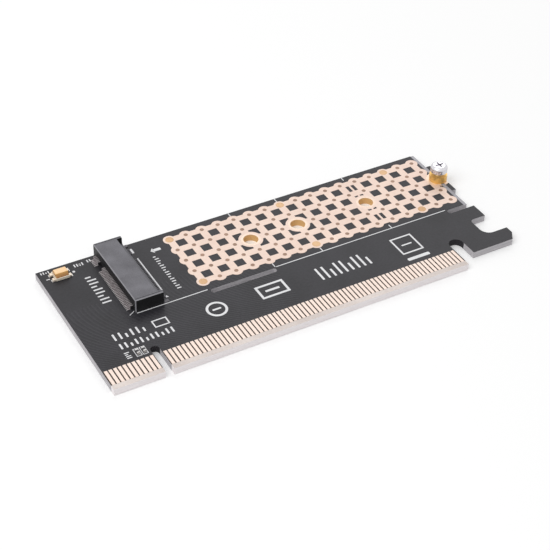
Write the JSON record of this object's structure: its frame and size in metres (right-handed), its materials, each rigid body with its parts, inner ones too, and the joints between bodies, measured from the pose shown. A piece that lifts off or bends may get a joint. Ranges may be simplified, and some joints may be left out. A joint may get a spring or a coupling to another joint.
{
  "type": "drive module adapter card",
  "caption": "Flat plug-in circuit board with an edge contact row, retaining hook, module socket, screw places and a copper grid.",
  "frame": {"origin": "middle of the card's outline, at the height of the back contacts", "axes": "+X along the edge contacts towards the hook, +Y from the contact edge to the top edge, +Z out of the front face"},
  "size_m": [0.0996, 0.0408, 0.0057],
  "materials": {
    "board": "dark satin mask over pale laminate",
    "contact_plating": "bright plated metal",
    "grid_plating": "pale plated metal, slightly matt",
    "hole_plating": "plated metal",
    "housing": "moulded, satin",
    "spring_metal": "tinned strip",
    "solder": "bright solder",
    "light_body": "pale moulding",
    "light_lens": "clear amber resin",
    "chip_body": "dark ceramic",
    "standoff_brass": "turned",
    "screw_metal": "bright nickel"
  },
  "bodies": {
    "root": {"circuit_board": "board", "front_edge_contacts": "contact_plating", "back_edge_contacts": "contact_plating", "copper_grid": "grid_plating", "hole_ring_1": "hole_plating", "hole_ring_2": "hole_plating", "hole_ring_3": "hole_plating", "socket_housing": "housing", "socket_rear_contacts": "spring_metal", "socket_front_contacts": "spring_metal", "socket_clip_top": "spring_metal", "socket_clip_bottom": "spring_metal", "socket_pads": "solder", "status_light_base": "light_body", "status_light_lens": "light_lens", "status_light_terminals": "solder", "status_light_pads": "solder", "left_chip": "chip_body", "right_chip": "chip_body", "chip_end_caps": "solder", "chip_pads": "solder", "standoff": "standoff_brass", "standoff_pad": "hole_plating", "module_screw": "screw_metal"}
  },
  "joints": []
}
